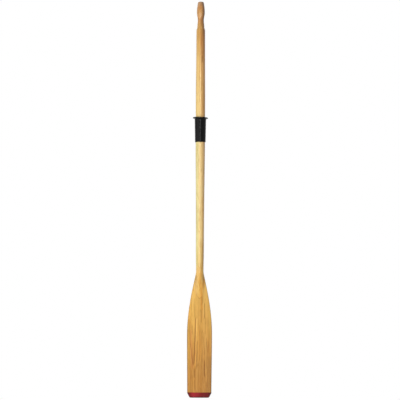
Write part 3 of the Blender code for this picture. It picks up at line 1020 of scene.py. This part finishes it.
class BoardFinish:
    """The varnished wood of one board, built up layer by layer."""

    def __init__(self, name, wood, form):
        self.board = BOARDS[name]
        self.wood = wood
        self.form = form
        self.material = bpy.data.materials.new(name + "_varnished_wood")
        self.tree = ShaderTree(self.material)
        where = self.tree.node("ShaderNodeTexCoord", {})
        self.place = where.outputs["Object"]
        self.x, self.y, self.z = self.tree.split(self.place)
        self.facing_x, _, self.facing_z = self.tree.split(where.outputs["Normal"])
        self.clouds = self.noise(CLOUD_GRAIN)
        self.fibres = self.noise(FIBRE_GRAIN, detail=2.0)
        self.sway = self.tree.spread(self.noise(LINE_GRAIN), -LINE_WANDER, LINE_WANDER)
        self.swayed = self.tree.math("ADD", self.x, self.sway)

    def noise(self, grain, **settings):
        """Noise with the board's own seed."""
        return self.tree.noise(self.place, grain, self.board.seed, **settings)

    def tone_along(self):
        """Tone of the wood along the oar, paler in the loom's middle and darker towards both ends."""
        reach = GRIP_END - BLADE_END
        stops = []
        for mark, rise, tone in TONES:
            height = getattr(self.form, mark) + rise
            stops.append(((height - BLADE_END) / reach, tuple(getattr(self.wood, tone))))
        return self.tree.ramp(self.tree.line(self.z, BLADE_END, GRIP_END), stops)

    def latewood(self):
        """The dark lines of the growth rings, which are cylinders round the log's heart."""
        tree, board = self.tree, self.board
        wander = tree.math("SUBTRACT", self.noise(WANDER_GRAIN, detail=2.0), NOISE_MIDDLE)
        wander = tree.product(wander, 2 * WANDER_REACH)
        above = tree.math("SUBTRACT", self.z, ARCH_FOOT)
        squares = []
        for along, lean, heart in zip((self.x, self.y), board.lean, board.heart):
            middle = tree.math("MULTIPLY_ADD", above, lean, heart)
            squares.append(tree.square(tree.math("SUBTRACT", along, middle)))
        radius = tree.math("SQRT", tree.math("ADD", *squares))
        outside = tree.math("SUBTRACT", tree.math("ADD", radius, wander), board.ring_radius)
        counted = tree.math("DIVIDE", outside, board.ring_gap)
        ring = tree.math("FRACT", counted)
        dark = tree.product(tree.smooth(ring, *LATEWOOD_START), tree.falling(ring, *LATEWOOD_END))
        year = tree.product(tree.math("FLOOR", counted), YEAR_SPREAD)
        strength = tree.node("ShaderNodeTexNoise", {"W": year}, noise_dimensions="1D").outputs[0]
        return tree.product(dark, tree.spread(strength, *YEAR_STRENGTH))

    def drawn(self, lines, x, z):
        """How strongly any of some drawn lines shows at a distance from the middle and a height."""
        tree = self.tree
        shares = []
        for line in lines:
            down = tree.square(tree.line(z, line.top, line.foot))
            across = line.across_foot - line.across_top
            middle = tree.math("MULTIPLY_ADD", down, across, line.across_top)
            away = tree.distance(x, middle)
            share = tree.product(
                tree.smooth(away, 0.0, line.half_width, line.strength, 0.0),
                tree.smooth(z, line.foot, line.foot + LINE_FADE),
                tree.falling(z, line.top - LINE_FADE, line.top),
            )
            shares.append(share)
        return tree.highest(*shares)

    def drawn_round(self, lines):
        """How strongly drawn lines show, on the back as a shifted copy of the front."""
        tree = self.tree
        behind = tree.smooth(self.y, *BACK_BLEND)
        shifted = tree.math("MULTIPLY_ADD", behind, BACK_SHIFT, self.x)
        height = tree.math("MULTIPLY_ADD", behind, BACK_RISE, self.z)
        return self.drawn(lines, tree.math("ADD", shifted, self.sway), height)

    def zoned(self, tone):
        """A tone with the loom's heartwood and sapwood, and painted shade on the loom's right side, partly in the
        heartwood and fully in a second step of its tint along the right edge.
        """
        tree, form, z = self.tree, self.form, self.z
        in_loom = tree.smooth(z, *from_mark(form.throat, LOOM_FIGURE))
        border = tree.math("MULTIPLY_ADD", z, HEARTWOOD_LEAN, HEARTWOOD_START)
        heart = tree.product(
            tree.smooth(tree.math("SUBTRACT", self.swayed, border), *HEARTWOOD_EDGE),
            tree.line(self.clouds, *HEARTWOOD_CLOUDS),
            in_loom,
            tree.smooth(z, *HEARTWOOD_HEIGHTS),
            tree.falling(z, *from_mark(form.shoulder, HEARTWOOD_TOP)),
        )
        # the heartwood's darker right half also stands in for shade on the loom's unlit side
        tone = tree.tinted(heart, tone, self.wood.heartwood_and_shade)
        # painted shade: the heartwood tint again along the loom's right edge
        side = tree.product(tree.smooth(self.x, *RIGHT_EDGE_SHADE), in_loom)
        tone = tree.tinted(side, tone, self.wood.heartwood_and_shade)
        sap = tree.product(
            tree.falling(self.swayed, *SAPWOOD_EDGE),
            in_loom,
            tree.smooth(z, *SAPWOOD_HEIGHTS),
            tree.falling(z, form.palm, form.neck),
        )
        return tree.tinted(sap, tone, self.wood.sapwood)

    def flamed(self, tone):
        """A tone with the orange flames under the throat and on the blade's shoulders."""
        tree, throat, z = self.tree, self.form.throat, self.z
        flame = tree.product(
            tree.smooth(self.x, *FLAME_LEFT),
            tree.smooth(self.clouds, *FLAME_CLOUDS),
            tree.falling(self.x, *FLAME_RIGHT),
            tree.smooth(z, *from_mark(throat, FLAME_FOOT)),
            tree.falling(z, *from_mark(throat, FLAME_TOP)),
        )
        flame = tree.highest(flame, self.drawn(FLAMES, self.swayed, z))
        return tree.tinted(flame, tone, self.wood.flame)

    def streaked(self, tone):
        """A tone with broad bands, fine streaks, clouds and fibres."""
        tree = self.tree
        bands = tree.smooth(self.noise(BAND_GRAIN, detail=1.0), *BAND_SPAN, 0.0, self.board.streaks)
        tone = tree.tinted(bands, tone, self.wood.streak)
        streaks = tree.smooth(self.noise(STREAK_GRAIN, detail=4.0, roughness=0.6), *STREAK_SPAN)
        tone = tree.tinted(streaks, tone, self.wood.streak)
        clouds = tree.spread(self.clouds, *CLOUD_LEVELS)
        fibres = tree.spread(self.fibres, *FIBRE_LEVELS)
        return tree.tinted(1.0, tone, tree.product(clouds, fibres))

    def grained(self, tone, latewood):
        """A tone with growth rings, short dashes, the strong lines of the grain and painted highlights on the loom
        and the grip.
        """
        tree, wood = self.tree, self.wood
        dashes = tree.smooth(self.noise(DASH_GRAIN, detail=1.0), *DASH_SPAN)
        dark = tree.highest(tree.product(latewood, self.board.ring_depth), dashes)
        tone = tree.tinted(dark, tone, wood.latewood)
        for lines, tint in (
            (DARK_LINES, wood.dark_line),
            # the pale lines include painted highlights on the loom and the grip
            (PALE_GRAIN_AND_HIGHLIGHTS, PALER),
            (PINK_LINES, wood.pink_line),
            (YELLOW_LINES, wood.yellow_side),
            (GREY_LINES, wood.edge),
        ):
            tone = tree.tinted(self.drawn_round(lines), tone, tint)
        return tone

    def glued(self, tone):
        """A tone with the thin glue lines between the boards."""
        tree, form = self.tree, self.form
        slope = (form.seam(form.throat) - form.seam(BLADE_END)) / (form.throat - BLADE_END)
        seam = tree.math("MULTIPLY_ADD", self.z, slope, form.seam(0.0))
        from_wing = tree.distance(tree.math("ABSOLUTE", self.x), seam)
        from_cover = tree.distance(tree.math("ABSOLUTE", self.y), CORE_HALF)
        wing_glue = tree.product(
            tree.falling(from_wing, *WING_GLUE),
            tree.falling(self.z, *from_mark(form.throat, GLUE_TOP)),
        )
        glue = tree.highest(wing_glue, tree.smooth(from_cover, *COVER_GLUE))
        return tree.tinted(glue, tone, self.wood.glue)

    def edge_shaded(self, tone):
        """A tone with painted shade along the blade's edges."""
        tree, wood = self.tree, self.wood
        # painted shade where the blade's surface turns sideways, and close to its sides
        edge = tree.product(
            tree.smooth(tree.math("ABSOLUTE", self.facing_x), *SHADE_TURN),
            tree.falling(self.z, *from_mark(self.form.throat, EDGE_SHADE_TOP)),
        )
        tone = tree.tinted(edge, tone, wood.edge)
        places = from_mark(BLADE_WIDTH / 2, EDGE_SHADE_SPAN)
        rim = tree.smooth(tree.math("ABSOLUTE", self.x), *places, 0.0, EDGE_SHADE_STRENGTH)
        return tree.tinted(rim, tone, wood.edge)

    def handled_and_shaded(self, tone):
        """A tone with the soiling and blushes of the grip and the upper loom, and painted shade on their right
        side and on the grip's left outline.
        """
        tree, wood, form, z = self.tree, self.wood, self.form, self.z
        clouds = tree.product(
            tree.smooth(self.noise(SOIL_GRAIN), *SOIL_SPAN),
            tree.smooth(z, form.shoulder, form.neck, 0.0, SOIL_STRENGTH),
        )
        # painted shade at the right of the palm
        palm_shade = tree.product(
            tree.smooth(self.x, *PALM_SHADE),
            tree.smooth(z, form.shoulder - PALM_SHADE_DROP, form.palm),
        )
        # painted shade along the grip's left outline
        left = tree.product(
            tree.smooth(self.facing_x, *LEFT_OUTLINE_SHADE), tree.smooth(z, form.palm, form.neck)
        )
        end = tree.smooth(self.facing_z, *END_SOIL)
        # soiling clouds, end grain, stains and the painted shade together
        soil_and_shade = tree.highest(clouds, end, palm_shade, left, self.drawn_round(STAINS))
        tone = tree.tinted(soil_and_shade, tone, wood.soiled_and_shaded)
        tone = tree.tinted(self.drawn_round(BLUSHES), tone, wood.flame)
        # painted shade on the right side of the grip and the upper loom
        right = tree.product(
            tree.smooth(self.facing_x, *RIGHT_SHADE_TURN), tree.smooth(z, RIGHT_SHADE_FOOT, form.palm)
        )
        return tree.tinted(right, tone, wood.soiled_and_shaded)

    def finished(self):
        """The material, with every layer in place."""
        tree, wood = self.tree, self.wood
        latewood = self.latewood()
        tone = tree.tinted(1.0, self.tone_along(), self.board.shade)
        tone = self.grained(self.streaked(self.flamed(self.zoned(tone))), latewood)
        tone = self.handled_and_shaded(self.edge_shaded(self.glued(tone)))
        relief = tree.math("MULTIPLY_ADD", latewood, RING_RELIEF, self.fibres)
        rough = tree.spread(self.fibres, *from_mark(wood.wood_roughness, WOOD_ROUGHER))
        finish = {
            "Base Color": tone,
            "Roughness": rough,
            "Normal": tree.bump(relief, *WOOD_BUMP),
            "Specular IOR Level": wood.wood_gloss,
            "Coat Weight": wood.varnish_weight,
            "Coat Roughness": wood.varnish_roughness,
        }
        tree.surface(finish)
        return self.material


def started(name):
    """A new material, its shader tree, and the coordinates of what it covers."""
    material = bpy.data.materials.new(name)
    tree = ShaderTree(material)
    return material, tree, tree.node("ShaderNodeTexCoord", {}).outputs["Object"]


def bare_wood_material(wood):
    """Plain hardwood with fine fibres, for the hidden spline."""
    material, tree, place = started("bare_hardwood")
    fibres = tree.noise(place, FIBRE_GRAIN)
    darker = tree.tinted(1.0, wood.blade, wood.latewood)
    tone = tree.blend(fibres, darker, wood.throat)
    tree.surface({"Base Color": tone, "Roughness": tree.spread(fibres, *BARE_ROUGHNESS)})
    return material


def lacquer_material(tip):
    """Deep red gloss lacquer, with painted light on the left of the flat, painted shade along the edges and on the
    right, and darker worn fibres.
    """
    material, tree, place = started("red_lacquer")
    x, _, z = tree.split(place)
    clouds = tree.noise(place, LACQUER_CLOUD_GRAIN)
    fibres = tree.noise(place, LACQUER_FIBRE_GRAIN, detail=2.0)
    # painted light on the left half of the tip
    lit = tree.product(
        tree.smooth(x, *LIT_LEFT), tree.falling(x, *LIT_RIGHT), tree.spread(clouds, *LIT_CLOUDS)
    )
    tone = tree.blend(lit, tip.red, tip.bright)
    # painted shade along the sides, the foot and the right of the tip
    edge = tree.highest(
        tree.smooth(tree.distance(x, SHADE_MIDDLE), *SHADED_SIDES),
        tree.product(tree.falling(z, *from_mark(BLADE_END, SHADED_FOOT)), SHADED_FOOT_SHARE),
        tree.smooth(x, *SHADED_RIGHT),
    )
    edge = tree.math("MULTIPLY", edge, tree.spread(clouds, *SHADE_CLOUDS), clamped=True)
    tone = tree.blend(edge, tone, tip.worn)
    tone = tree.blend(tree.smooth(fibres, *WORN_FIBRES), tone, tip.worn)
    finish = {
        "Base Color": tone,
        "Roughness": tree.spread(clouds, *from_mark(tip.roughness, LACQUER_ROUGHER)),
        "Normal": tree.bump(fibres, *LACQUER_BUMP),
        "Specular IOR Level": tip.gloss,
        "Coat Weight": tip.coat_weight,
        "Coat Roughness": tip.coat_roughness,
    }
    tree.surface(finish)
    return material


def rubber_material(rubber):
    """Black moulded rubber with a faint bloom, drawn along the sleeve where it has been rubbed."""
    material, tree, place = started("black_moulded_rubber")
    clouds = tree.noise(place, BLOOM_GRAIN, detail=4.0)
    pores = tree.noise(place, PORE_GRAIN, detail=2.0)
    rubbed = tree.smooth(tree.noise(place, RUB_GRAIN), *RUBBED_SPAN)
    bloom = tree.highest(tree.product(tree.smooth(clouds, *BLOOM_SPAN), BLOOM_SHARE), rubbed)
    finish = {
        "Base Color": tree.blend(bloom, rubber.rubber, rubber.bloom),
        "Roughness": tree.spread(clouds, *from_mark(rubber.roughness, RUBBER_ROUGHER)),
        "Normal": tree.bump(pores, *RUBBER_BUMP),
        "Specular IOR Level": rubber.gloss,
    }
    tree.surface(finish)
    return material


def slotted(piece):
    """Cuts the spline's slot into the end of a wooden piece."""
    low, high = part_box("tip_spline")
    gap = bpy.context.scene.oar_collar.clearance
    corners = [(low[axis] - gap, high[axis] + gap) for axis in range(3)]
    cutter = bpy.data.objects.new(piece.name + "_slot", bpy.data.meshes.new("slot"))
    shape = bmesh.new()
    bmesh.ops.create_cube(shape, size=1.0)
    for vert in shape.verts:
        vert.co = [corners[axis][vert.co[axis] > 0] for axis in range(3)]
    shape.to_mesh(cutter.data)
    shape.free()
    bpy.context.scene.collection.objects.link(cutter)
    change = piece.modifiers.new("slot", "BOOLEAN")
    change.object = cutter
    change.operation = "DIFFERENCE"
    seen = piece.evaluated_get(bpy.context.evaluated_depsgraph_get())
    cut_mesh = bpy.data.meshes.new_from_object(seen)
    piece.modifiers.clear()
    piece.data = cut_mesh
    bpy.data.objects.remove(cutter)


class OAR_OT_laminations(Operator):
    """Add the three laminations that the loom is glued from"""

    bl_idname = "oar.laminations"
    bl_label = "Add the loom's laminations"

    def execute(self, context):
        form = WoodForm(context.scene)
        wood = context.scene.oar_wood
        heights = form.between(GRIP_END, form.run_out)
        for name, node, side in OUTER_LAMINATIONS:
            mesh = lofted(name, heights, partial(lamination_ring, form, side))
            finish = BoardFinish(node, wood, form).finished()
            placed(name, mesh, finish, "oar", node)
        heights = form.between(GRIP_END, TIP_JOINT)
        mesh = lofted("core_lamination", heights, partial(core_ring, form))
        finish = BoardFinish("loom_core", wood, form).finished()
        slotted(placed("core_lamination", mesh, finish, "oar", "loom_core"))
        return {"FINISHED"}


class OAR_OT_wings(Operator):
    """Add the two boards that widen the loom into the blade"""

    bl_idname = "oar.wings"
    bl_label = "Add the blade's wings"

    def execute(self, context):
        form = WoodForm(context.scene)
        heights = form.between(form.wing_top, TIP_JOINT)
        for name, node, side in WINGS:
            mesh = lofted(name, heights, partial(wing_ring, form, side))
            finish = BoardFinish(node, context.scene.oar_wood, form).finished()
            slotted(placed(name, mesh, finish, "oar", node))
        return {"FINISHED"}


class OAR_OT_tip(Operator):
    """Add the red tip strip, and finish the spline inside it"""

    bl_idname = "oar.tip"
    bl_label = "Add the tip"

    def execute(self, context):
        form = WoodForm(context.scene)
        heights = form.between(TIP_JOINT, BLADE_END)
        mesh = lofted("tip_strip", heights, partial(tip_ring, form))
        finish = lacquer_material(context.scene.oar_tip)
        slotted(placed("tip_strip", mesh, finish, "oar", "blade_tip"))
        spline = frame["nodes"]["tip_spline"]
        spline.data.materials.clear()
        spline.data.materials.append(bare_wood_material(context.scene.oar_wood))
        return {"FINISHED"}


def collar_profile(sizes):
    """Outline of the collar in radius and height, from the bore's top round the outside."""
    bore = LOOM_WIDTH / 2 + sizes.clearance
    seat = bore + sizes.seat_wall
    end = bore + sizes.end_wall
    rim, top, foot = COLLAR_HIGH.x, COLLAR_HIGH.z, COLLAR_LOW.z
    under = top - sizes.rim_thickness
    chamfer, lip = sizes.bore_chamfer, sizes.rim_rounding
    profile = [(bore, top - chamfer - sizes.dish), (bore + chamfer, top - sizes.dish)]
    for sine, cosine in quarter_turn(LIP_STEPS):
        profile.append((rim - lip * (1 - sine), top - lip * (1 - cosine)))
    for sine, cosine in quarter_turn(LIP_STEPS, 1):
        profile.append((rim - lip * (1 - cosine), under + lip * (1 - sine)))
    reach = rim - lip - seat
    for sine, cosine in quarter_turn(FLARE_STEPS, 1):
        profile.append((seat + reach * (1 - sine), under * cosine))
    rounding = sizes.end_rounding
    for sine, cosine in quarter_turn(LIP_STEPS):
        profile.append((end - rounding * (1 - cosine), foot + rounding * (1 - sine)))
    return profile + [(bore + chamfer, foot), (bore, foot + chamfer)]


class OAR_OT_collar(Operator):
    """Add the rubber collar, whose soft flange leans down a little on the right"""

    bl_idname = "oar.collar"
    bl_label = "Add the collar"

    def execute(self, context):
        sizes = context.scene.oar_collar
        profile = collar_profile(sizes)
        lean = math.tan(sizes.tilt)
        points = []
        for side in range(COLLAR_SIDES):
            turn = 2 * math.pi * side / COLLAR_SIDES
            for radius, height in profile:
                x, y = radius * math.cos(turn), radius * math.sin(turn)
                soft = eased(0.0, 1.0, (height + LEAN_START) / COLLAR_HIGH.z)
                points.append((x, y, height - soft * lean * x))
        rows = [(side, (side + 1) % COLLAR_SIDES) for side in range(COLLAR_SIDES)]
        mesh = finished_mesh("rubber_collar", points, wall_faces(rows, len(profile)))
        finish = rubber_material(context.scene.oar_rubber)
        placed("rubber_collar", mesh, finish, "collar", "collar")
        return {"FINISHED"}


class OAR_OT_stage(Operator):
    """Set up the pale floor, the light and the camera"""

    bl_idname = "oar.stage"
    bl_label = "Set up the stage"

    def execute(self, context):
        stage = context.scene.oar_stage
        context.scene.view_settings.view_transform = "Standard"
        make_world(context.scene, stage)
        make_floor(context.scene, stage)
        make_lights(context.scene, stage)
        make_camera(context.scene, stage)
        return {"FINISHED"}


def seen_rays(tree):
    """1 for rays that show the background: from the camera, in a mirror or through glass."""
    path = tree.node("ShaderNodeLightPath", {})
    kinds = ("Is Camera Ray", "Is Glossy Ray", "Is Transmission Ray")
    return tree.highest(*(path.outputs[kind] for kind in kinds))


def make_world(scene, stage):
    """A white background over soft light from all round, dimmer on the right."""
    world = bpy.data.worlds.new("studio")
    scene.world = world
    tree = ShaderTree(world)
    background = tree.graph.nodes["Background"]
    direction = tree.node("ShaderNodeTexCoord", {}).outputs["Generated"]
    rightwards = tree.split(direction)[0]
    level = tree.line(rightwards, -1.0, 1.0, 1.0 + stage.ambient_tilt, 1.0 - stage.ambient_tilt)
    soft = tree.tinted(1.0, stage.ambient, level)
    tree.feed(background.inputs["Color"], tree.blend(seen_rays(tree), soft, grey(1.0)))


def make_floor(scene, stage):
    """A pale floor under the oar, which fades into the white background further off."""
    floor = bpy.data.objects.new("floor", bpy.data.meshes.new("floor"))
    shape = bmesh.new()
    bmesh.ops.create_circle(shape, cap_ends=True, segments=FLOOR_SIDES, radius=FLOOR_RADIUS)
    shape.to_mesh(floor.data)
    shape.free()
    floor.location.z = BLADE_END - stage.floor_drop
    scene.collection.objects.link(floor)
    material, tree, place = started("pale_floor")
    nodes = tree.graph.nodes
    nodes.remove(nodes["Principled BSDF"])
    away = tree.node("ShaderNodeVectorMath", {0: place}, operation="LENGTH").outputs["Value"]
    matt = tree.node("ShaderNodeBsdfDiffuse", {"Color": rgba(grey(FLOOR_GREY))}).outputs[0]
    seen = seen_rays(tree)
    strength = tree.product(seen, FLOOR_GLOW)
    glow = tree.node("ShaderNodeEmission", {"Strength": strength}).outputs[0]
    near = tree.node("ShaderNodeAddShader", {0: matt, 1: glow}).outputs[0]
    white = tree.node("ShaderNodeEmission", {"Strength": seen}).outputs[0]
    far = tree.node("ShaderNodeMixShader", {0: seen, 1: matt, 2: white}).outputs[0]
    fade = tree.smooth(away, *FLOOR_FADE)
    mixed = tree.node("ShaderNodeMixShader", {0: fade, 1: near, 2: far}).outputs[0]
    tree.feed(nodes["Material Output"].inputs["Surface"], mixed)
    floor.data.materials.append(material)


def make_softbox(scene, name, turn, distance, height):
    """The lamp of a rectangular light that faces the oar, turned to the left of the camera."""
    lamp = bpy.data.lights.new(name, "AREA")
    lamp.shape = "RECTANGLE"
    light = bpy.data.objects.new(name, lamp)
    light.location = (-distance * math.sin(turn), -distance * math.cos(turn), height)
    light.rotation_euler = (math.pi / 2, 0.0, -turn)
    scene.collection.objects.link(light)
    return lamp


def make_lights(scene, stage):
    """A large soft key light on the left, and a slim strip that draws a gloss line on the loom."""
    middle = stage.frame_top - stage.frame_height / 2
    key = make_softbox(scene, "key_light", stage.key_turn, stage.key_distance, middle)
    key.size, key.size_y, key.energy = stage.key_width, stage.key_height, stage.key_power
    height = middle + stage.strip_rise
    strip = make_softbox(scene, "strip_light", stage.strip_turn, stage.strip_distance, height)
    strip.size, strip.size_y, strip.energy = stage.strip_width, stage.strip_height, stage.strip_power


def make_camera(scene, stage):
    """A level camera that looks at the oar's front."""
    lens = bpy.data.cameras.new("camera")
    lens.lens = lens.sensor_width * stage.distance / stage.frame_height
    lens.clip_end = 2 * FLOOR_RADIUS
    camera = bpy.data.objects.new("camera", lens)
    middle = stage.frame_top - stage.frame_height / 2
    camera.location = (-stage.axis_shift, -stage.distance, middle)
    camera.rotation_euler = (math.pi / 2, -stage.roll, 0.0)
    scene.collection.objects.link(camera)
    scene.camera = camera


OPERATORS = (OAR_OT_laminations, OAR_OT_wings, OAR_OT_tip, OAR_OT_collar, OAR_OT_stage)


class OAR_PT_build(Panel):
    """The steps that dress the oar, in order"""

    bl_idname = "OAR_PT_build"
    bl_label = "Oar"
    bl_space_type = "VIEW_3D"
    bl_region_type = "UI"
    bl_category = "Oar"

    def draw(self, context):
        for step in OPERATORS:
            self.layout.operator(step.bl_idname)
        for name in GROUPS:
            group = getattr(context.scene, name)
            box = self.layout.box()
            for prop in group.bl_rna.properties:
                if not prop.is_readonly and prop.identifier != "name":
                    box.prop(group, prop.identifier)


CLASSES = (*GROUPS.values(), *OPERATORS, OAR_PT_build)


def register():
    """Registers the classes and hangs the settings on the scene."""
    for kind in CLASSES:
        bpy.utils.register_class(kind)
    for name, group in GROUPS.items():
        setattr(bpy.types.Scene, name, PointerProperty(type=group))


def unregister():
    """Takes the settings and the classes away again."""
    for name in GROUPS:
        delattr(bpy.types.Scene, name)
    for kind in reversed(CLASSES):
        bpy.utils.unregister_class(kind)


def main():
    """Dresses the oar and sets the stage."""
    register()
    bpy.ops.oar.laminations()
    bpy.ops.oar.wings()
    bpy.ops.oar.tip()
    bpy.ops.oar.collar()
    bpy.ops.oar.stage()


if __name__ == "__main__":
    main()
